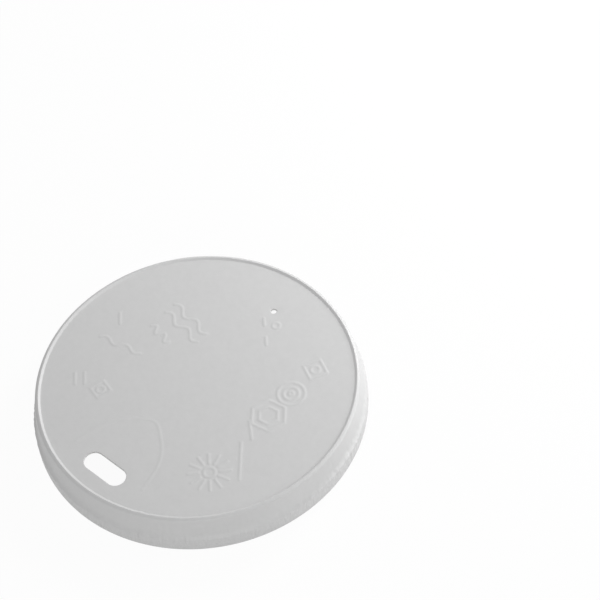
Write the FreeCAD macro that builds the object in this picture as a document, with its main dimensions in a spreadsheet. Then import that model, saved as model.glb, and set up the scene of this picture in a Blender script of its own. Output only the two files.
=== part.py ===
import FreeCAD, Part
import Sketcher
import os

# Coffee cup lid pressed from one sheet of paperboard, in millimetres.
# It stands on the folded foot of its skirt: the origin is the centre of the ring that the
# foot touches, +Z is up through the panel, and the sip slot lies towards -Y.

# Driving dimensions
SIZES = {
    # sheet and overall form
    "board": (0.5, "thickness of the paperboard"),
    "foot_radius": (42.0, "outer radius of the skirt just above its folded foot"),
    "lid_height": (10.85, "from the folded foot to the crest of the raised rim"),
    # raised rim round the panel
    "rim_rise": (0.4, "height of the crest above the panel"),
    "rim_slope": (28.0, "angle of the rim's inner slope from the level"),
    "shoulder_bend": (0.55, "inside radius of the bend from the inner slope to the wall"),
    # skirt
    "wall_draft": (7.0, "angle of the upper wall from the upright"),
    "ledge_tilt": (38.0, "angle of the ledge from the upright"),
    "ledge_run": (0.84, "how far the ledge reaches outward"),
    "band_height": (4.15, "level at which the band ends and the ledge starts"),
    "band_lean": (1.6, "outward lean of the band from the upright"),
    # hem folded inward at the foot
    "hem_gap": (0.3, "gap between the hem and the band"),
    "hem_height": (3.95, "level of the hem's free edge"),
    "fold_bevel": (0.38, "bevel pressed on both sides of the fold"),
    # punched holes
    "slot_length": (12.5, "sip slot, end to end"),
    "slot_width": (5.1, "sip slot, side to side"),
    "slot_margin": (4.4, "from the crest of the rim to the near side of the sip slot"),
    "vent_bore": (1.5, "diameter of the vent hole"),
    "vent_margin": (11.2, "from the crest of the rim to the middle of the vent hole"),
}

# how far the volume of a punched plug may be off, as a share of it
PUNCH_SLACK = 0.01


def make_sheet(doc):
    """Writes the driving dimensions into a spreadsheet, one named cell each."""
    sheet = doc.addObject("Spreadsheet::Sheet", "Sizes")
    for row, (name, (value, note)) in enumerate(SIZES.items(), 1):
        sheet.set(f"A{row}", name)
        sheet.set(f"B{row}", str(value))
        sheet.setAlias(f"B{row}", name)
        sheet.set(f"C{row}", note)
    doc.recompute()
    return sheet


def radians(degrees):
    return FreeCAD.Units.Quantity(degrees, "deg").getValueAs("rad").Value


def heading(degrees):
    """Unit vector in a sketch's plane, by its angle from the sketch's X axis."""
    turn = FreeCAD.Rotation(FreeCAD.Vector(0, 0, 1), degrees)
    return turn.multVec(FreeCAD.Vector(1, 0, 0))


def add_sketch(body, name, plane_role):
    """New sketch attached to one of the body's own origin planes."""
    sketch = body.newObject("Sketcher::SketchObject", name)
    plane = next(p for p in body.Origin.OriginFeatures if p.Role == plane_role)
    sketch.AttachmentSupport = (plane, "")
    sketch.MapMode = "FlatFace"
    return sketch


def rule(sketch, kind, *places):
    """Adds a constraint with no value of its own."""
    return sketch.addConstraint(Sketcher.Constraint(kind, *places))


def bind(sketch, name, expression, kind, *places):
    """Adds a named constraint, whose last place is its value, tied to the spreadsheet."""
    sketch.renameConstraint(rule(sketch, kind, *places), name)
    sketch.setExpression(f"Constraints.{name}", expression)


class Straight:
    """A straight stretch of the sheet, seen in section.

    Its place is given by the normal of its outer face, as an angle from the X axis, and by
    the reach of that face along the normal.
    """

    def __init__(self, angle, reach):
        self.angle = angle
        self.reach = reach

    @staticmethod
    def through(angle, point):
        """A straight with this normal, through a point of its outer face."""
        return Straight(angle, point.dot(heading(angle)))

    def inset(self, depth):
        """The same stretch, one depth further in."""
        return Straight(self.angle, self.reach - depth)

    def meet(self, other):
        """Corner where two straights cross."""
        a, b = heading(self.angle), heading(other.angle)
        spread = a.x * b.y - a.y * b.x
        return FreeCAD.Vector((self.reach * b.y - other.reach * a.y) / spread,
                              (a.x * other.reach - b.x * self.reach) / spread, 0)


def section_layout(sheet):
    """Straights of the half section from the panel to the hem, and the centre of the crest."""
    out, up, down, back = 0, 90, -90, 180
    over = sheet.shoulder_bend + sheet.board
    foot = FreeCAD.Vector(sheet.foot_radius, sheet.fold_bevel, 0)
    band = Straight.through(-sheet.band_lean, foot)
    band_top = band.meet(Straight(up, sheet.band_height))
    ledge = Straight.through(sheet.ledge_tilt, band_top)
    ledge_top = ledge.meet(Straight(out, band_top.x - sheet.ledge_run))
    wall = Straight.through(sheet.wall_draft, ledge_top)
    crest = wall.inset(over).meet(Straight(up, sheet.lid_height - over))
    slope_angle = up + sheet.rim_slope
    slope = Straight.through(slope_angle, crest + heading(slope_angle) * over)
    panel = Straight(up, sheet.lid_height - sheet.rim_rise)
    hem = Straight(back, 2 * sheet.board + sheet.hem_gap - sheet.foot_radius)
    return [panel, slope, wall, ledge, band, Straight(down, 0), hem], crest


def draw_chain(sketch, knots):
    """Draws straight edges from knot to knot, each joined to the one before it."""
    lines = [sketch.addGeometry(Part.LineSegment(a, b)) for a, b in zip(knots, knots[1:])]
    for before, after in zip(lines, lines[1:]):
        rule(sketch, "Coincident", before, 2, after, 1)
    return lines


def draw_outer(sketch, sheet, straights, crest):
    """Outer face of the sheet, from the axis over the crest and round the fold to the hem.

    Returns its straights in the order of the layout, and the arc over the crest.
    """
    panel, slope, wall, ledge, band, foot, hem = straights
    over = sheet.shoulder_bend + sheet.board
    bevel = sheet.fold_bevel
    inner_foot = FreeCAD.Vector(-hem.reach + bevel, 0, 0)
    outer_foot = FreeCAD.Vector(sheet.foot_radius - bevel, 0, 0)
    rim = draw_chain(sketch, [
        FreeCAD.Vector(0, panel.reach, 0), panel.meet(slope), crest + heading(slope.angle) * over])
    skirt = draw_chain(sketch, [
        crest + heading(wall.angle) * over, wall.meet(ledge), ledge.meet(band),
        FreeCAD.Vector(sheet.foot_radius, bevel, 0), outer_foot, inner_foot,
        FreeCAD.Vector(-hem.reach, bevel, 0), FreeCAD.Vector(-hem.reach, sheet.hem_height, 0)])
    panel_line, slope_line = rim
    wall_line, ledge_line, band_line, far_bevel, foot_line, near_bevel, hem_line = skirt
    top = crest + heading((slope.angle + wall.angle) / 2) * over
    arc = sketch.addGeometry(Part.Arc(sketch.getPoint(wall_line, 1), top,
                                      sketch.getPoint(slope_line, 2)))
    rule(sketch, "Tangent", slope_line, 2, arc, 2)
    rule(sketch, "Tangent", arc, 1, wall_line, 1)
    rule(sketch, "PointOnObject", panel_line, 1, -2)
    rule(sketch, "Horizontal", panel_line)
    rule(sketch, "PointOnObject", foot_line, 1, -1)
    rule(sketch, "PointOnObject", foot_line, 2, -1)
    rule(sketch, "Vertical", hem_line)

    bind(sketch, "crest_round", "Sizes.shoulder_bend + Sizes.board", "Radius", arc, over)
    bind(sketch, "crest_up", "Sizes.lid_height - Sizes.shoulder_bend - Sizes.board",
         "DistanceY", arc, 3, crest.y)
    bind(sketch, "panel_up", "Sizes.lid_height - Sizes.rim_rise",
         "DistanceY", panel_line, 1, panel.reach)
    bind(sketch, "ledge_out", "Sizes.ledge_run",
         "DistanceX", ledge_line, 1, ledge_line, 2, sheet.ledge_run)
    bind(sketch, "band_up", "Sizes.band_height", "DistanceY", band_line, 1, sheet.band_height)
    bind(sketch, "foot_out", "Sizes.foot_radius", "DistanceX", band_line, 2, sheet.foot_radius)
    for name, line, high in (("far", far_bevel, 1), ("near", near_bevel, 2)):
        bind(sketch, f"{name}_rise", "Sizes.fold_bevel", "DistanceY", line, high, bevel)
        bind(sketch, f"{name}_run", "Sizes.fold_bevel", "DistanceX", line, 2, line, 1, bevel)
    bind(sketch, "fold_width", "2 * Sizes.board + Sizes.hem_gap",
         "DistanceX", hem_line, 1, band_line, 2, sheet.foot_radius + hem.reach)
    bind(sketch, "hem_up", "Sizes.hem_height", "DistanceY", hem_line, 2, sheet.hem_height)

    # direction of each leaning straight as it is drawn, a quarter turn back from its normal
    leans = (("slope_lean", slope_line, slope, "Sizes.rim_slope"),
             ("wall_lean", wall_line, wall, "Sizes.wall_draft - 90"),
             ("ledge_lean", ledge_line, ledge, "Sizes.ledge_tilt - 90"),
             ("band_lean", band_line, band, "-90 - Sizes.band_lean"))
    for name, line, straight, expression in leans:
        bind(sketch, name, expression, "Angle", line, radians(straight.angle - 90))
    return [panel_line, slope_line, wall_line, ledge_line, band_line, foot_line, hem_line], arc


def draw_inner(sketch, sheet, straights, crest, outer, arc):
    """Inner face of the sheet: each straight runs one board behind the outer face.

    Under the crest it takes a flat facet, and inside the fold it turns square.
    """
    inset = [straight.inset(sheet.board) for straight in straights]
    panel, slope, wall, ledge, band, foot, hem = inset
    facet = Straight.through((slope.angle + wall.angle) / 2, crest).inset(-sheet.shoulder_bend)
    hem_reach = -hem.reach
    lines = draw_chain(sketch, [
        FreeCAD.Vector(0, panel.reach, 0), panel.meet(slope), slope.meet(facet), facet.meet(wall),
        wall.meet(ledge), ledge.meet(band), band.meet(foot), foot.meet(hem),
        FreeCAD.Vector(hem_reach, sheet.hem_height, 0)])
    facet_line = lines.pop(2)
    for back, front in zip(lines, outer):
        rule(sketch, "Parallel", back, front)
    names = ("panel", "slope", "wall", "ledge", "band", "foot", "hem")
    for name, back, front in zip(names, lines, outer):
        bind(sketch, f"{name}_board", "Sizes.board", "Distance", back, 2, front, sheet.board)
    bind(sketch, "facet_lean", "(Sizes.rim_slope + Sizes.wall_draft - 90) / 2",
         "Angle", facet_line, radians(facet.angle - 90))
    bind(sketch, "facet_out", "Sizes.shoulder_bend",
         "Distance", arc, 3, facet_line, sheet.shoulder_bend)
    return lines


def draw_section(body, sheet):
    """Half section of the folded sheet, on the plane through the axis."""
    sketch = add_sketch(body, "Section", "XZ_Plane")
    straights, crest = section_layout(sheet)
    outer, arc = draw_outer(sketch, sheet, straights, crest)
    inner = draw_inner(sketch, sheet, straights, crest, outer, arc)

    # the sheet's thickness on the axis, and the free edge of the hem
    for first, last in (((outer[0], 1), (inner[0], 1)), ((outer[-1], 2), (inner[-1], 2))):
        edge = sketch.addGeometry(Part.LineSegment(sketch.getPoint(*first),
                                                   sketch.getPoint(*last)))
        rule(sketch, "Coincident", edge, 1, *first)
        rule(sketch, "Coincident", edge, 2, *last)
    rule(sketch, "Horizontal", edge)
    rule(sketch, "PointOnObject", inner[0], 1, -2)

    # radius of the crest, read by the holes that are measured from it
    measured = rule(sketch, "DistanceX", arc, 3, sketch.getPoint(arc, 3).x)
    sketch.renameConstraint(measured, "crest_reach")
    sketch.setDriving(measured, False)
    return sketch


def draw_slot(body, sheet, crest_radius):
    """Sip slot: two straight sides and two round ends, lying across the -Y direction."""
    sketch = add_sketch(body, "SlotOutline", "XY_Plane")
    end = sheet.slot_width / 2
    spread = sheet.slot_length - sheet.slot_width
    reach = crest_radius - sheet.slot_margin - end
    arcs = []
    for side, first in ((1, -90.0), (-1, 90.0)):
        centre = FreeCAD.Vector(side * spread / 2, -reach, 0)
        spots = [centre + heading(first + turn) * end for turn in (0.0, 90.0, 180.0)]
        arcs.append(sketch.addGeometry(Part.Arc(*spots)))
    right, left = arcs
    for start, stop in (((right, 2), (left, 1)), ((left, 2), (right, 1))):
        line = sketch.addGeometry(Part.LineSegment(sketch.getPoint(*start),
                                                   sketch.getPoint(*stop)))
        rule(sketch, "Tangent", *start, line, 1)
        rule(sketch, "Tangent", line, 2, *stop)
    rule(sketch, "Equal", right, left)
    rule(sketch, "Symmetric", right, 3, left, 3, -2)
    bind(sketch, "end_round", "Sizes.slot_width / 2", "Radius", right, end)
    bind(sketch, "spread", "Sizes.slot_length - Sizes.slot_width",
         "DistanceX", left, 3, right, 3, spread)
    bind(sketch, "reach",
         "Section.Constraints.crest_reach - (Sizes.slot_margin + Sizes.slot_width / 2) * 1 mm",
         "DistanceY", right, 3, -1, 1, reach)
    return sketch


def draw_vent(body, sheet, crest_radius):
    """Vent hole, opposite the sip slot."""
    sketch = add_sketch(body, "VentOutline", "XY_Plane")
    reach = crest_radius - sheet.vent_margin
    bore = sheet.vent_bore / 2
    ring = sketch.addGeometry(Part.Circle(FreeCAD.Vector(0, reach, 0),
                                          FreeCAD.Vector(0, 0, 1), bore))
    rule(sketch, "PointOnObject", ring, 3, -2)
    bind(sketch, "bore", "Sizes.vent_bore / 2", "Radius", ring, bore)
    bind(sketch, "reach", "Section.Constraints.crest_reach - Sizes.vent_margin * 1 mm",
         "DistanceY", -1, 1, ring, 3, reach)
    return sketch


def punch(body, outline, name, board):
    """Cuts an outline through the panel, and tests that a plug of the board's height went."""
    before = body.Shape.Volume
    pocket = body.newObject("PartDesign::Pocket", name)
    pocket.Profile = outline
    pocket.Type = "ThroughAll"
    pocket.Reversed = True
    body.Document.recompute()
    plug = Part.Face(Part.Wire(Part.sortEdges(outline.Shape.Edges)[0])).Area * board
    removed = before - body.Shape.Volume
    if abs(removed - plug) > plug * PUNCH_SLACK:
        raise RuntimeError(f"{name} removed {removed:.3f} mm3 instead of {plug:.3f}")


def make_lid(doc, sheet):
    """The whole lid: the section turned about the axis, then the two punched holes."""
    body = doc.addObject("PartDesign::Body", "CupLid")
    body.Label = "cup_lid"
    section = draw_section(body, sheet)
    turned = body.newObject("PartDesign::Revolution", "Turned")
    turned.Profile = section
    turned.ReferenceAxis = (section, ["V_Axis"])
    turned.Angle = 360.0
    doc.recompute()

    crest_radius = section.getDatum("crest_reach").Value
    punch(body, draw_slot(body, sheet, crest_radius), "SipSlot", sheet.board)
    punch(body, draw_vent(body, sheet, crest_radius), "Vent", sheet.board)
    return body


def export(doc, bodies):
    """Checks the document and every body, and writes one file for each body."""
    doc.recompute()
    for item in doc.Objects:
        if "Invalid" in item.State or "Error" in item.State:
            raise RuntimeError(f"{item.Label} failed: {item.State}")
    for body in bodies:
        shape = body.Shape
        if shape.isNull() or not shape.isValid() or len(shape.Solids) != 1:
            raise RuntimeError(f"{body.Label} is not one valid solid")
    os.makedirs("parts", exist_ok=True)
    for body in bodies:
        body.Shape.exportStep(f"parts/{body.Label}.step")
        box = body.Shape.optimalBoundingBox(False)
        print(f"{body.Label}: {body.Shape.Volume:.1f} mm3,",
              f"{box.XLength:.2f} x {box.YLength:.2f} x {box.ZLength:.2f} mm")


def main():
    doc = FreeCAD.newDocument("CoffeeCupLid")
    sheet = make_sheet(doc)
    export(doc, [make_lid(doc, sheet)])


main()
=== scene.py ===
import math

import bpy
import numpy as np
from mathutils import Matrix, Vector, geometry, noise


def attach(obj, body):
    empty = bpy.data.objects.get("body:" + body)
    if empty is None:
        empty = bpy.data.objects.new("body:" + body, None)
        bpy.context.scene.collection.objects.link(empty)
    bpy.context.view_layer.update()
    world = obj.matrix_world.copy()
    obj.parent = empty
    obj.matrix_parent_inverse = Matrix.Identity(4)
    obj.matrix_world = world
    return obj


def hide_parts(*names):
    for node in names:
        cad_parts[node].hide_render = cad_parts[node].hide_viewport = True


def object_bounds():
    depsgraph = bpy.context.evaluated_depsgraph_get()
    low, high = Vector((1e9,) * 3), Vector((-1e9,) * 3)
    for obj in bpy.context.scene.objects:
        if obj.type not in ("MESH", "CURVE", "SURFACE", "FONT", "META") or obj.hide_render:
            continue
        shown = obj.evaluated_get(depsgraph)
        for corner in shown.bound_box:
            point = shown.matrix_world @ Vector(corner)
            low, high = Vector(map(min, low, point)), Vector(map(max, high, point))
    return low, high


# Coffee cup lid in pressed paperboard. Shapes are worked out in millimetres and built in metres.

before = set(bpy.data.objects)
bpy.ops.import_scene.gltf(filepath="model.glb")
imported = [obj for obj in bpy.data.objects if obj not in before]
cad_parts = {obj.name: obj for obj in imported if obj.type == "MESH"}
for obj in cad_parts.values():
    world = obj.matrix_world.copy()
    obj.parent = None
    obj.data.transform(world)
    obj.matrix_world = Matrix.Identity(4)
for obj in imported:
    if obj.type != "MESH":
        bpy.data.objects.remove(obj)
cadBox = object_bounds()
mm = 0.001
lidHeight = cadBox[1][2] / mm
print("frame loaded, lid", round(lidHeight, 2), "mm tall")


# section of the folded sheet

sheet = {
    "board": 0.5,
    "footRadius": 42.0,
    "foldLevel": 0.38,           # where the foot starts to fold under
    "rimRise": 0.4,
    "rimSlope": 34.0,            # degrees from the level
    "ridgeRadius": 39.8,         # where the crest is highest
    "ridgeBend": 0.2,            # bends are outside radii
    "shoulderTilt": 22.0,        # degrees from the level
    "shoulderBend": 0.7,
    "rimFootBend": 0.3,
    "wallDraft": 7.0,
    "creaseBend": 3.0,
    "ledgeTilt": 42.0,
    "ledgeRun": 0.84,
    "ledgeBend": 0.6,
    "bandHeight": 4.15,
    "bandLean": 1.6,
    "footBend": 0.55,            # outer corner of the folded foot
    "hemBend": 0.5,
    "hemGap": 0.3,
    "hemHeight": 3.95,
    "edgeRound": 0.1,            # cut edges are rubbed a little round
    "panelEdge": 37.9,           # the net of the flat panel ends here
    "segments": 960,
    "runStep": 1.6,              # longest straight edge along the section
    "sharpAngle": 50,            # edges sharper than this stay hard
}
panelTop = lidHeight - sheet["rimRise"]


def heading(angle):
    return np.array([math.cos(math.radians(angle)), math.sin(math.radians(angle))])


def smooth(x):
    x = np.clip(x, 0, 1)
    return x * x * (3 - 2 * x)


def meet(a, b):
    # corner where two straight runs cross; a run is the angle of its normal and its reach
    return np.linalg.solve(np.array([heading(a[0]), heading(b[0])]), np.array([a[1], b[1]]))


def straightRuns():
    s = sheet
    band = (-s["bandLean"], float(heading(-s["bandLean"]) @ (s["footRadius"], s["foldLevel"])))
    bandTop = meet(band, (90, s["bandHeight"]))
    ledge = (s["ledgeTilt"], float(heading(s["ledgeTilt"]) @ bandTop))
    ledgeTop = meet(ledge, (0, bandTop[0] - s["ledgeRun"]))
    wall = (s["wallDraft"], float(heading(s["wallDraft"]) @ ledgeTop))
    ridge = (s["ridgeRadius"], lidHeight - s["ridgeBend"])
    slope, shoulder = [(tilt, float(heading(tilt) @ ridge) + s["ridgeBend"])
                       for tilt in (90 + s["rimSlope"], 90 - s["shoulderTilt"])]
    hem = (180, 2 * s["board"] + s["hemGap"] - s["footRadius"])
    return [(90, panelTop), slope, shoulder, wall, ledge, band, (-90, 0.0), hem]


def addRun(points, goal, runStep):
    first = points[-1]
    count = math.ceil(float(np.linalg.norm(goal - first)) / runStep)
    points += [first + (goal - first) * k / count for k in range(1, count + 1)]


def bentPath(knots, runStep):
    # a knot is a corner, its bend radius and the number of steps round the bend
    points = [np.array(knots[0][0], float)]
    for before, knot, after in zip(knots, knots[1:], knots[2:]):
        corner = np.array(knot[0], float)
        a, b = np.array(before[0]) - corner, np.array(after[0]) - corner
        a, b = a / np.linalg.norm(a), b / np.linalg.norm(b)
        turn = math.pi - math.acos(float(a @ b))
        centre = corner + (a + b) / np.linalg.norm(a + b) * knot[1] / math.cos(turn / 2)
        start = corner + a * knot[1] * math.tan(turn / 2) - centre
        side = 1 if a[0] * b[1] < a[1] * b[0] else -1
        addRun(points, centre + start, runStep)
        for k in range(1, knot[2] + 1):
            c, s = math.cos(side * turn * k / knot[2]), math.sin(side * turn * k / knot[2])
            points.append(centre + np.array([start[0] * c - start[1] * s,
                                             start[0] * s + start[1] * c]))
    addRun(points, np.array(knots[-1][0], float), runStep)
    return points


def sheetPath():
    # from the panel over the rim, down the skirt, round the hem and back on the inside
    s = sheet
    board, edge = s["board"], s["edgeRound"]
    outer = straightRuns()
    panel, slope, shoulder, wall, ledge, band, foot, hem = outer
    panelIn, slopeIn, shoulderIn, wallIn, ledgeIn, bandIn, footIn, hemIn = [
        (angle, reach - board) for angle, reach in outer]
    hemTop = (90, s["hemHeight"])
    return np.array(bentPath([
        ((s["panelEdge"], panelTop), 0, 0),
        (meet(panel, slope), s["rimFootBend"], 3),
        (meet(slope, shoulder), s["ridgeBend"], 4),
        (meet(shoulder, wall), s["shoulderBend"], 5),
        (meet(wall, ledge), s["creaseBend"], 4),
        (meet(ledge, band), s["ledgeBend"], 3),
        (meet(band, foot), s["footBend"], 5),
        (meet(foot, hem), s["hemBend"], 2),
        (meet(hem, hemTop), edge, 1),
        (meet(hemIn, hemTop), edge, 1),
        (meet(hemIn, footIn), edge, 1),
        (meet(footIn, bandIn), edge, 1),
        (meet(bandIn, ledgeIn), s["ledgeBend"] - board, 2),
        (meet(ledgeIn, wallIn), s["creaseBend"] + board, 3),
        (meet(wallIn, shoulderIn), s["shoulderBend"] - board, 2),
        (meet(shoulderIn, slopeIn), edge, 1),
        (meet(slopeIn, panelIn), s["rimFootBend"] + board, 2),
        ((s["panelEdge"], panelTop - board), 0, 0),
    ], s["runStep"]))


# pleats and dents of the skirt

pleats = {
    "seed": 11,
    "count": 230,
    "depth": 0.15,
    "depthShare": (0.1, 1.0, 1.5),   # least and most of the depth, and the power of the draw
    "width": 0.27,
    "widthShare": (0.7, 1.7),
    "lowEnd": (-0.3, 0.3),       # range of a pleat's ends, in shares of the lid's height
    "highEnd": (0.4, 1.15),
    "endFade": (0.12, 0.2),
    "lean": 0.02,
    "footFade": (0.35, 1.0),     # no pleats at the fold of the foot: level, and height of the fade
    "rimFade": (38.6, 1.4),      # nor on the panel: radius, and width of the fade
    "wallShare": 0.35,           # pleats are shallower above the ledge
    "bandFade": (1.1, 1.4),      # end above the band, and height of the fade
    "ledgeDent": 0.15,
    "ledgeSize": (1.3, 1.3),     # size round the skirt and up it
    "ledgeReach": (0.5, 0.9),    # middle above the band, and half height
    "bandDent": 0.1,
    "bandSize": (0.9, 2.4),
    "sway": 0.05,                # slow out-of-round
    "swaySize": (14, 14),
    "rimDip": 0.035,             # small dips along the crest
    "rimSize": (0.9, 9),
    "rimReach": 0.7,
    "rimShare": 0.2,             # more than half of the crest dips
}


def cloud(points, size, offset):
    # smooth noise, one value for each point; each offset takes another part of it
    return np.array([noise.noise(Vector(p) / size + Vector((offset, 0, 0))) for p in points])


def skirtCloud(angles, levels, size, offset):
    # smooth noise round the skirt, from -0.5 to 0.5 or so
    around, up = size
    radius = sheet["footRadius"] / around
    grid = [(radius * math.cos(a), radius * math.sin(a), level / up) for a in angles for level in levels]
    return cloud(grid, 1, offset).reshape(len(angles), len(levels))


def skirtPleats(angles, share):
    # upright pleats at random places; share is how far up the lid each point lies
    p = pleats
    draw = np.random.default_rng(p["seed"])
    least, most, power = p["depthShare"]
    lowFade, highFade = p["endFade"]
    depths = np.zeros((len(angles), len(share)))
    for k in range(p["count"]):
        centre = 2 * math.pi * (k + draw.uniform(-0.5, 0.5)) / p["count"]
        depth = p["depth"] * draw.uniform(least, most) ** power
        width = p["width"] * draw.uniform(*p["widthShare"]) / sheet["footRadius"]
        low, high = draw.uniform(*p["lowEnd"]), draw.uniform(*p["highEnd"])
        lean = p["lean"] * draw.uniform(-1, 1)
        off = (angles[:, None] - centre - lean * share + math.pi) % (2 * math.pi) - math.pi
        fade = np.clip((high - share) / highFade, 0, 1) * np.clip((share - low) / lowFade, 0, 1)
        depths += depth * np.exp(-(off / width) ** 2) * fade
    return depths


def skirtDents(angles, path):
    # how far each point of the skirt lies inward of the plain section
    p = pleats
    levels = path[:, 1]
    above, fade = p["bandFade"]
    onBand = smooth((sheet["bandHeight"] + above - levels) / fade)
    dents = skirtPleats(angles, levels / lidHeight) * (p["wallShare"] + (1 - p["wallShare"]) * onBand)
    above, half = p["ledgeReach"]
    onLedge = np.exp(-((levels - sheet["bandHeight"] - above) / half) ** 2)
    for depth, size, where in ((p["ledgeDent"], p["ledgeSize"], onLedge),
                               (p["bandDent"], p["bandSize"], onBand),
                               (p["sway"], p["swaySize"], 1)):
        dents += depth * where * (skirtCloud(angles, levels, size, 7 * depth) + 0.5)
    foot, fade = p["footFade"]
    dents = np.clip(dents, 0, None) * smooth((levels - foot) / fade)
    rim, fade = p["rimFade"]
    return dents * np.clip((path[:, 0] - rim) / fade, 0, 1)


def rimDips(angles, path):
    # how far each point near the crest lies below the plain section, on the upper face alone
    upper = path[:, 1] > panelTop - 2 * sheet["board"]
    nearCrest = np.exp(-((path[:, 0] - sheet["ridgeRadius"]) / pleats["rimReach"]) ** 2) * upper
    dips = skirtCloud(angles, path[:, 1], pleats["rimSize"], 5) + pleats["rimShare"]
    return pleats["rimDip"] * nearCrest * np.clip(dips, 0, None)


def skirtPoints(angles):
    # a column of points for each angle, without the two that lie on the edge of the panel
    path = sheetPath()
    radius = (path[:, 0] - skirtDents(angles, path))[:, 1:-1]
    level = (path[:, 1] - rimDips(angles, path))[:, 1:-1]
    return np.stack([radius * np.cos(angles)[:, None], radius * np.sin(angles)[:, None], level], axis=-1)


# signs pressed into the panel: a plain set of rings and bars

signs = {
    "column": 20.6,              # X of the column of signs
    "columnHeight": 0.075,
    "groupHeight": 0.07,
    "flat": 0.16,                # half width of a line's flat top
    "side": 0.34,                # width of its sides
    "nearby": 2,                 # a line counts only this far round it
    "archHeight": 0.04,
    "arch": (-31.5, -15.2, 11.3),   # Y of the foot and of the tip, half spread
    "archLegs": (0.6, 0.16, 0.1, 0.48),   # slant, then roundness and cut of the tip, then steepening
    "dimple": (1.9, 0.05),       # reach and depth of the dimple round the vent
    "ripple": 0.045,             # the panel isn't quite flat
    "rippleSize": (26, 5),
    "fineRipple": 0.25,          # share of the second size
    "rippleFade": 6,
}


def ringLine(x, y, radius):
    turn = np.linspace(0, 360, 12 + int(6 * radius))
    return [(x, y) + radius * heading(t) for t in turn]


def barLine(x, y, length, angle):
    way = heading(angle) * length / 2
    return [(x, y) - way, (x, y) + way]


def cornerLine(x, y, radius, sides, angle):
    return [(x, y) + radius * heading(angle + 360 * k / sides) for k in range(sides + 1)]


def waveLine(x, y, length, swing, angle):
    way, across = heading(angle), heading(angle + 90)
    return [(x, y) + way * length * t + across * swing * math.sin(4 * math.pi * t)
            for t in np.linspace(-0.5, 0.5, 25)]


def archLine():
    # rounded tip, and legs that steepen towards the foot
    foot, tip, spread = signs["arch"]
    slant, soft, cut, steepen = signs["archLegs"]
    return [(spread * u, tip - (tip - foot) * (slant * math.hypot(u, soft) - cut + steepen * u ** 8))
            for u in np.linspace(-1, 1, 41)]


def columnSigns():
    # from the slot to the vent: rayed ring, bars, hexagon, rings and a box
    x = signs["column"]
    sun, hexagon, rings, box = (x, -17.6), (x, 3.6), (x, 12.0), (x - 0.2, 21.2)
    lines = [ringLine(*sun, 1.4)]
    lines += [barLine(*(sun + 3.9 * heading(a)), 2.6, a) for a in range(15, 375, 30)]
    lines += [barLine(x + 3.6, -10.5, 10.6, -50), barLine(x - 0.5, -2.3, 5.4, -42)]
    lines += [cornerLine(*hexagon, radius, 6, 10) for radius in (4.6, 2.6)]
    lines += [ringLine(*rings, radius) for radius in (3.4, 1.9, 0.5)]
    return lines + [cornerLine(*box, 3.2, 4, 20), ringLine(*box, 1.1)]


def groupSigns():
    # waves and bars on the other side, a small box, and three small signs near the vent
    box = (-17.5, -16.6)
    lines = [waveLine(-15.0, y, 13.0, 0.9, -8) for y in (13.4, 10.2)]
    lines += [waveLine(-17.8, 5.2, 7.0, 0.9, -8), waveLine(-23.4, -3.6, 12.0, 0.7, 12)]
    lines += [barLine(x, y, 3.4, -45) for x, y in ((-29.4, 2.4), (-23.2, -16.6), (-25.0, -18.2))]
    lines += [cornerLine(*box, 2.7, 4, 30), ringLine(*box, 1.0)]
    return lines + [ringLine(3.6, 25.4, 0.9), barLine(0.4, 24.4, 2.2, -45), barLine(4.8, 20.2, 2.4, -45)]


def lineDistance(spots, lines):
    # distance from each spot to the nearest line
    best = np.full(len(spots), math.inf)
    around = signs["nearby"]
    for line in map(np.array, lines):
        near = np.all((spots > line.min(0) - around) & (spots < line.max(0) + around), axis=1)
        for a, b in zip(line, line[1:]):
            way = spots[near] - a
            share = np.clip(way @ (b - a) / ((b - a) @ (b - a)), 0, 1)
            best[near] = np.minimum(best[near], np.hypot(*(way - share[:, None] * (b - a)).T))
    return best


# punched holes

holes = {
    "slotY": -32.7,
    "slotLength": 12.5,
    "slotWidth": 5.1,
    "ventY": 28.45,
    "ventRadius": 0.75,
    "ventSteps": 32,
    "drag": 0.08,                # the punch drags the upper edge down a little
    "edgeStep": 0.25,
}


def slotAway(spots):
    half = (holes["slotLength"] - holes["slotWidth"]) / 2
    x = spots[:, 0] - np.clip(spots[:, 0], -half, half)
    return np.hypot(x, spots[:, 1] - holes["slotY"]) - holes["slotWidth"] / 2


def ventAway(spots):
    return np.hypot(spots[:, 0], spots[:, 1] - holes["ventY"]) - holes["ventRadius"]


def slotLoop(offset=0.0):
    half = (holes["slotLength"] - holes["slotWidth"]) / 2
    radius = holes["slotWidth"] / 2 + offset
    endSteps = math.ceil(math.pi * radius / holes["edgeStep"])
    sideSteps = math.ceil(2 * half / holes["edgeStep"])
    loop = []
    for side in (1, -1):
        for k in range(endSteps + 1):
            spot = side * radius * heading(180 * k / endSteps - 90)
            loop.append((side * half + spot[0], holes["slotY"] + spot[1]))
        for k in range(1, sideSteps):
            loop.append((side * half * (1 - 2 * k / sideSteps), holes["slotY"] + side * radius))
    return loop


def circleLoop(radius, count, y=0.0):
    return [tuple((0, y) + radius * heading(360 * k / count)) for k in range(count)]


def ventLoop(offset=0.0):
    return circleLoop(holes["ventRadius"] + offset, holes["ventSteps"], holes["ventY"])


# net of the flat panel, finer along the signs

net = {
    "fine": 0.25,
    "middle": 0.55,
    "coarse": 1.1,
    "fineReach": 0.2,            # past the foot of a line
    "middleReach": 0.8,          # past the fine part
    "rings": ((0.25, 2), (0.65, 3)),   # inset from the edge, and segments to one point
    "slotClear": 0.45,
    "ventClear": 0.35,
    "holeRings": (0.04, 0.1, 0.26),    # distance from the cut
    "weld": 1e-6,
}


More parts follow.
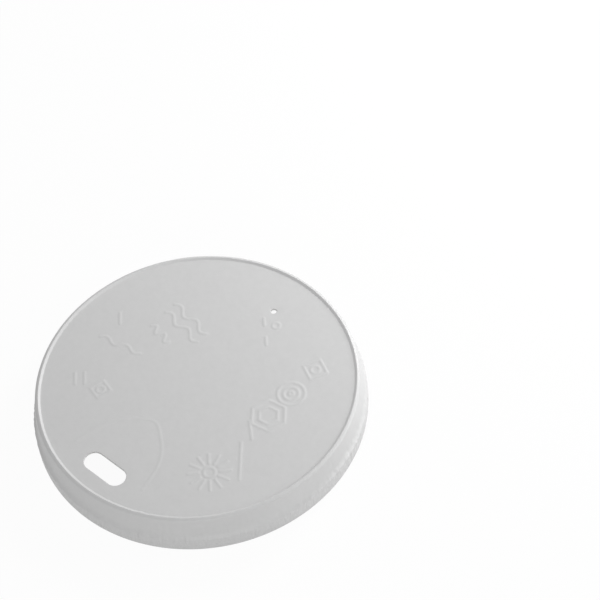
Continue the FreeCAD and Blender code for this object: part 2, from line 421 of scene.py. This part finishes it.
def lattice(step, reach):
    rise = step * math.sqrt(0.75)
    rows = math.ceil(reach / rise)
    spots = np.array([((i + j % 2 / 2) * step, j * rise)
                      for j in range(-rows, rows + 1) for i in range(-rows, rows + 1)])
    return spots[np.hypot(*spots.T) < reach]


def innerSpots(lines):
    # three lattices: fine on the lines, middle beside them, coarse on the rest
    reach = sheet["panelEdge"] - net["coarse"]
    fineEnd = signs["flat"] + signs["side"] + net["fineReach"]
    middleEnd = fineEnd + net["middleReach"]
    inner = []
    for step, low, high in ((net["fine"], -1, fineEnd), (net["middle"], fineEnd, middleEnd),
                            (net["coarse"], middleEnd, math.inf)):
        spots = lattice(step, reach)
        away = lineDistance(spots, lines)
        inner.append(spots[(away > low) & (away <= high)])
    inner = np.vstack(inner)
    return inner[(slotAway(inner) > net["slotClear"]) & (ventAway(inner) > net["ventClear"])]


def panelNet(lines):
    # spots, triangles, and the spots along the rim, the slot and the vent
    edge = sheet["panelEdge"]
    points, edges, spans = [], [], []
    for loop in (circleLoop(edge, sheet["segments"]), slotLoop(), ventLoop()):
        span = range(len(points), len(points) + len(loop))
        edges += list(zip(span, [*span[1:], span[0]]))
        spans.append(span)
        points += loop
    for inset, part in net["rings"]:
        points += circleLoop(edge - inset, sheet["segments"] // part)
    for offset in net["holeRings"]:
        points += slotLoop(offset) + ventLoop(offset)
    points += innerSpots(lines).tolist()
    corners, _, faces, origin, *_ = geometry.delaunay_2d_cdt(
        [Vector(p) for p in points], edges, [], 0, net["weld"])
    spots = np.array([tuple(corner) for corner in corners])
    faces = np.array([list(face) for face in faces])
    middle = spots[faces].mean(1)
    faces = faces[(slotAway(middle) > 0) & (ventAway(middle) > 0)]
    place = {old: new for new, olds in enumerate(origin) for old in olds}
    return spots, faces.tolist(), [[place[old] for old in span] for span in spans]


def panelLift(spots):
    # how far the signs, the arch, the dimple and the ripples move the sheet up
    s = signs

    def ridge(lines, height):
        return height * smooth(1 - (lineDistance(spots, lines) - s["flat"]) / s["side"])

    lift = np.maximum(ridge(columnSigns(), s["columnHeight"]), ridge(groupSigns(), s["groupHeight"]))
    lift = np.maximum(lift, ridge([archLine()], s["archHeight"]))
    reach, depth = s["dimple"]
    lift -= depth * smooth(1 - ventAway(spots) / reach)
    flat = np.column_stack([spots, np.zeros(len(spots))])
    wide, fine = s["rippleSize"]
    ripple = cloud(flat, wide, 3) + s["fineRipple"] * cloud(flat, fine, 9)
    inward = sheet["panelEdge"] - np.hypot(*spots.T)
    return lift + s["ripple"] * ripple * smooth(inward / s["rippleFade"])


def edgeDrag(spots):
    away = np.minimum(slotAway(spots), ventAway(spots))
    return holes["drag"] * np.clip(1 - away / holes["drag"], 0, 1) ** 2


# the lid as one mesh: upper face of the panel, its lower face, skirt, cut edges of the holes

def skirtFaces(rim, size, width):
    # each column of the skirt starts and ends on the panel's edge; the panel has size spots a side
    columns = [[spot, *range(2 * size + k * width, 2 * size + (k + 1) * width), size + spot]
               for k, spot in enumerate(rim)]
    return [(here[j], here[j + 1], there[j + 1], there[j])
            for here, there in zip(columns, columns[1:] + columns[:1]) for j in range(width + 1)]


def cutFaces(loops, size):
    return [(a, b, size + b, size + a) for loop in loops for a, b in zip(loop, loop[1:] + loop[:1])]


def buildLid():
    spots, faces, (rim, slot, vent) = panelNet(columnSigns() + groupSigns() + [archLine()])
    lift = panelLift(spots)
    upper = np.column_stack([spots, panelTop + lift - edgeDrag(spots)])
    lower = np.column_stack([spots, panelTop - sheet["board"] + lift])
    count = sheet["segments"]
    skirt = skirtPoints(np.arange(count) * 2 * math.pi / count)
    size, width = len(spots), skirt.shape[1]

    polygons = [tuple(face) for face in faces]
    polygons += [tuple(size + i for i in reversed(face)) for face in faces]
    polygons += skirtFaces(rim, size, width)
    firstCut = len(polygons)
    polygons += cutFaces((slot, vent), size)

    mesh = bpy.data.meshes.new("cupLid")
    mesh.from_pydata((np.vstack([upper, lower, skirt.reshape(-1, 3)]) * mm).tolist(), [], polygons)
    mesh.update()
    mesh.polygons.foreach_set("use_smooth", [True] * len(polygons))
    mesh.polygons.foreach_set("material_index", [int(k >= firstCut) for k in range(len(polygons))])
    mesh.set_sharp_from_angle(angle=math.radians(sheet["sharpAngle"]))
    piece = bpy.data.objects.new("cupLid", mesh)
    bpy.context.scene.collection.objects.link(piece)
    print("lid built,", 2 * len(faces), "panel triangles and", 2 * (width + 1) * count, "on the skirt")
    return piece


# paperboard

paper = {
    "light": (0.605, 0.605, 0.605),
    "dark": (0.58, 0.58, 0.58),
    "cutLight": (0.78, 0.78, 0.77),
    "cutDark": (0.7, 0.7, 0.69),
    "roughness": (0.42, 0.5),
    "cloudSize": 1.4,            # mm
    "fibreSize": 0.16,           # mm
    "fibreStretch": 0.16,
    "fibreTurns": (24, 51),      # degrees, the fibres lie in two directions
    "fibreDepth": 0.005,         # mm
    "shadeShares": (0.65, 0.35),   # clouds and fibres
    "shadeFloor": 0.34,
    "shadeGain": 2.6,
    "cloudHeight": 0.4,          # share of the fibres' height
    "streakSize": 0.7,           # mm, upright streaks on the band
    "streakStretch": 0.2,
    "streakDepth": 0.3,          # mm
    "streakTop": 4.9,            # mm above the foot
    "streakFade": 0.8,
}


def addMath(nodes, links, kind, a, b, clamp=False):
    # a and b are sockets or plain numbers
    node = nodes.new("ShaderNodeMath")
    node.operation, node.use_clamp = kind, clamp
    for socket, value in zip(node.inputs, (a, b)):
        if isinstance(value, (int, float)):
            socket.default_value = value
        else:
            links.new(value, socket)
    return node.outputs["Value"]


def pulpGroup():
    # cloudy pulp, fine fibres and the streaks of the pressed band
    group = bpy.data.node_groups.new("pressedPulp", "ShaderNodeTree")
    for name, kind in (("Vector", "NodeSocketVector"), ("Cloud Size", "NodeSocketFloat"),
                       ("Fibre Size", "NodeSocketFloat"), ("Streak Size", "NodeSocketFloat"),
                       ("Streak Height", "NodeSocketFloat")):
        group.interface.new_socket(name=name, in_out="INPUT", socket_type=kind)
    for name in ("Shade", "Height"):
        group.interface.new_socket(name=name, in_out="OUTPUT", socket_type="NodeSocketFloat")
    nodes, links = group.nodes, group.links
    start, end = nodes.new("NodeGroupInput"), nodes.new("NodeGroupOutput")

    def maths(kind, a, b, clamp=False):
        return addMath(nodes, links, kind, a, b, clamp)

    def noiseAt(vector, size, detail):
        texture = nodes.new("ShaderNodeTexNoise")
        texture.inputs["Detail"].default_value = detail
        links.new(vector, texture.inputs["Vector"])
        links.new(maths("DIVIDE", 1 / mm, size), texture.inputs["Scale"])
        return texture.outputs["Fac"]

    def fibresAlong(stretch, turn):
        place = nodes.new("ShaderNodeMapping")
        place.inputs["Rotation"].default_value = (0, 0, math.radians(turn))
        place.inputs["Scale"].default_value = stretch
        links.new(start.outputs["Vector"], place.inputs["Vector"])
        return noiseAt(place.outputs["Vector"], start.outputs["Fibre Size"], 2)

    def streaks():
        # noise laid round the skirt and drawn out upward, on the band only
        split = nodes.new("ShaderNodeSeparateXYZ")
        links.new(start.outputs["Vector"], split.inputs["Vector"])
        turn = maths("ARCTAN2", split.outputs["Y"], split.outputs["X"])
        around = nodes.new("ShaderNodeCombineXYZ")
        links.new(maths("MULTIPLY", turn, sheet["footRadius"] * mm), around.inputs["X"])
        links.new(maths("MULTIPLY", split.outputs["Z"], paper["streakStretch"]), around.inputs["Y"])
        grain = noiseAt(around.outputs["Vector"], start.outputs["Streak Size"], 1)
        below = maths("SUBTRACT", paper["streakTop"] * mm, split.outputs["Z"])
        onBand = maths("MULTIPLY", below, paper["streakFade"] / mm, True)
        return maths("MULTIPLY", maths("MULTIPLY", grain, onBand), start.outputs["Streak Height"])

    clouds = noiseAt(start.outputs["Vector"], start.outputs["Cloud Size"], 4)
    thin, (firstTurn, secondTurn) = paper["fibreStretch"], paper["fibreTurns"]
    fibres = maths("MAXIMUM", fibresAlong((thin, 1, 1), firstTurn), fibresAlong((1, thin, 1), secondTurn))
    cloudShare, fibreShare = paper["shadeShares"]
    shade = maths("ADD", maths("MULTIPLY", clouds, cloudShare), maths("MULTIPLY", fibres, fibreShare))
    above = maths("SUBTRACT", shade, paper["shadeFloor"])
    links.new(maths("MULTIPLY", above, paper["shadeGain"], True), end.inputs["Shade"])
    height = maths("ADD", maths("MULTIPLY", clouds, paper["cloudHeight"]), fibres)
    links.new(maths("ADD", height, streaks()), end.inputs["Height"])
    return group


pulp = pulpGroup()


def paperMaterial(name, light, dark):
    material = bpy.data.materials.new(name)
    material.use_nodes = True
    nodes, links = material.node_tree.nodes, material.node_tree.links
    shader = nodes["Principled BSDF"]
    place = nodes.new("ShaderNodeTexCoord")
    grain = nodes.new("ShaderNodeGroup")
    grain.node_tree = pulp
    grain.inputs["Cloud Size"].default_value = paper["cloudSize"]
    grain.inputs["Fibre Size"].default_value = paper["fibreSize"]
    grain.inputs["Streak Size"].default_value = paper["streakSize"]
    grain.inputs["Streak Height"].default_value = paper["streakDepth"] / paper["fibreDepth"]
    links.new(place.outputs["Object"], grain.inputs["Vector"])
    tint = nodes.new("ShaderNodeMix")
    tint.data_type = "RGBA"
    tint.inputs["A"].default_value = (*dark, 1)
    tint.inputs["B"].default_value = (*light, 1)
    rough = nodes.new("ShaderNodeMapRange")
    rough.inputs["To Min"].default_value, rough.inputs["To Max"].default_value = paper["roughness"]
    bump = nodes.new("ShaderNodeBump")
    bump.inputs["Distance"].default_value = paper["fibreDepth"] * mm
    links.new(grain.outputs["Shade"], tint.inputs["Factor"])
    links.new(grain.outputs["Shade"], rough.inputs["Value"])
    links.new(grain.outputs["Height"], bump.inputs["Height"])
    links.new(tint.outputs["Result"], shader.inputs["Base Color"])
    links.new(rough.outputs["Result"], shader.inputs["Roughness"])
    links.new(bump.outputs["Normal"], shader.inputs["Normal"])
    return material


lid = buildLid()
lid.data.materials.append(paperMaterial("paperboard", paper["light"], paper["dark"]))
lid.data.materials.append(paperMaterial("cutEdge", paper["cutLight"], paper["cutDark"]))
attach(lid, "root")
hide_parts("cup_lid")
print("paperboard on the lid and on the cut edges")


# floor, light and camera

studio = {
    "world": 0.49,
    "floorHalf": 3.0,
    "floorColour": (0.8, 0.8, 0.8),
    "floorWhite": 0.95,          # share of plain white that the camera sees on the floor
    # name, bearing from +X and rise in degrees, distance and size in metres, power in watts
    "lamps": [
        ("keyLamp", 90, 32, 0.32, 0.1, 0.56),
        ("sideLamp", 50, 20, 0.36, 0.16, 0.38),
        ("fillLamp", 312, 20, 0.6, 0.4, 0.9),
    ],
}


def clearRays(nodes, links):
    # one for rays from the camera, and for rays off or through shiny things
    rays = nodes.new("ShaderNodeLightPath")
    total = rays.outputs["Is Camera Ray"]
    for name in ("Is Glossy Ray", "Is Transmission Ray"):
        total = addMath(nodes, links, "ADD", total, rays.outputs[name], True)
    return total


def makeFloor():
    half = studio["floorHalf"]
    mesh = bpy.data.meshes.new("floor")
    mesh.from_pydata([(-half, -half, 0), (half, -half, 0), (half, half, 0), (-half, half, 0)],
                     [], [(0, 1, 2, 3)])
    floor = bpy.data.objects.new("floor", mesh)
    bpy.context.scene.collection.objects.link(floor)
    material = bpy.data.materials.new("paleFloor")
    material.use_nodes = True
    nodes, links = material.node_tree.nodes, material.node_tree.links
    nodes.remove(nodes["Principled BSDF"])
    matt = nodes.new("ShaderNodeBsdfDiffuse")
    matt.inputs["Color"].default_value = (*studio["floorColour"], 1)
    white = nodes.new("ShaderNodeEmission")
    mix = nodes.new("ShaderNodeMixShader")
    share = addMath(nodes, links, "MULTIPLY", clearRays(nodes, links), studio["floorWhite"])
    links.new(share, mix.inputs["Fac"])
    links.new(matt.outputs["BSDF"], mix.inputs[1])
    links.new(white.outputs["Emission"], mix.inputs[2])
    links.new(mix.outputs["Shader"], nodes["Material Output"].inputs["Surface"])
    mesh.materials.append(material)


def makeWorld():
    world = bpy.data.worlds.new("studio")
    bpy.context.scene.world = world
    world.use_nodes = True
    nodes, links = world.node_tree.nodes, world.node_tree.links
    soft = nodes["Background"]
    soft.inputs["Strength"].default_value = studio["world"]
    soft.inputs["Color"].default_value = (1, 1, 1, 1)
    white = nodes.new("ShaderNodeBackground")
    white.inputs["Color"].default_value = (1, 1, 1, 1)
    mix = nodes.new("ShaderNodeMixShader")
    links.new(clearRays(nodes, links), mix.inputs["Fac"])
    links.new(soft.outputs["Background"], mix.inputs[1])
    links.new(white.outputs["Background"], mix.inputs[2])
    links.new(mix.outputs["Shader"], nodes["World Output"].inputs["Surface"])


def makeLamp(name, bearing, rise, distance, size, power):
    lamp = bpy.data.lights.new(name, "AREA")
    lamp.shape = "DISK"
    lamp.size = size
    lamp.energy = power
    holder = bpy.data.objects.new(name, lamp)
    bpy.context.scene.collection.objects.link(holder)
    flat, up = heading(bearing), heading(rise)
    way = Vector((flat[0] * up[0], flat[1] * up[0], up[1]))
    holder.location = way * distance
    holder.rotation_mode = "QUATERNION"
    holder.rotation_quaternion = way.to_track_quat("Z", "Y")


view = {
    "place": (0.24987, -0.19386, 0.43548),
    "target": (-0.00318, 0.04091, 0.0),
    "roll": -7.105,              # degrees
    "lens": 127.98,
    "clipEnd": 20,
}


def makeCamera():
    data = bpy.data.cameras.new("camera")
    data.lens = view["lens"]
    data.clip_end = view["clipEnd"]
    camera = bpy.data.objects.new("camera", data)
    bpy.context.scene.collection.objects.link(camera)
    camera.location = view["place"]
    ahead = Vector(view["target"]) - Vector(view["place"])
    level = ahead.to_track_quat("-Z", "Y").to_matrix()
    camera.rotation_mode = "QUATERNION"
    camera.rotation_quaternion = (
        level @ Matrix.Rotation(math.radians(view["roll"]), 3, "Z")).to_quaternion()
    bpy.context.scene.camera = camera


makeFloor()
makeWorld()
for lampSet in studio["lamps"]:
    makeLamp(*lampSet)
makeCamera()
bpy.context.scene.view_settings.view_transform = "Standard"
print("floor, lamps and camera set")
